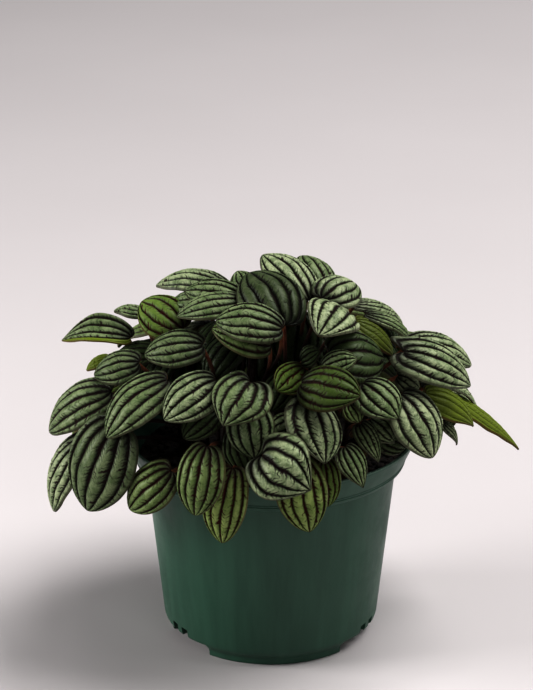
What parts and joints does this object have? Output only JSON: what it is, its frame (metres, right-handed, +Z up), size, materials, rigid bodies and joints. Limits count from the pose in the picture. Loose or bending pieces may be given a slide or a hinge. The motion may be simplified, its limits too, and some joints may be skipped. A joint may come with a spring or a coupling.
{
  "type": "potted peperomia",
  "caption": "Bushy house plant with striped, heart-shaped leaves on reddish leafstalks, in a round dark green nursery pot filled with potting soil.",
  "frame": {"origin": "middle of the pot's flat base, on the surface that it stands on", "axes": "+Z up, -Y towards the plant's front, +X towards its right-hand side as seen from the front"},
  "size_m": [0.243, 0.2108, 0.2057],
  "materials": {
    "pot_plastic": "moulded dark green plastic with a soft satin sheen and a paler worn rim edge",
    "potting_soil": "nearly black, crumbly peat and bark mix",
    "leaf": "fleshy blade with silvery green stripes between wide, sunken, purple-brown veins, on a reddish brown stalk"
  },
  "bodies": {
    "root": {"pot": "pot_plastic", "soil": "potting_soil", "leafy_stem_front_left": "leaf", "leafy_stem_front_middle_left": "leaf", "leafy_stem_front_middle": "leaf", "leafy_stem_front_middle_right": "leaf", "leafy_stem_front_right": "leaf", "leafy_stem_right": "leaf", "leafy_stem_middle_right": "leaf", "leafy_stem_middle": "leaf", "leafy_stem_middle_left": "leaf", "leafy_stem_left": "leaf", "leafy_stem_top": "leaf", "leafy_stem_right_back": "leaf", "leafy_stem_back_right": "leaf", "leafy_stem_back_left": "leaf", "leafy_stem_left_back": "leaf"}
  },
  "joints": []
}
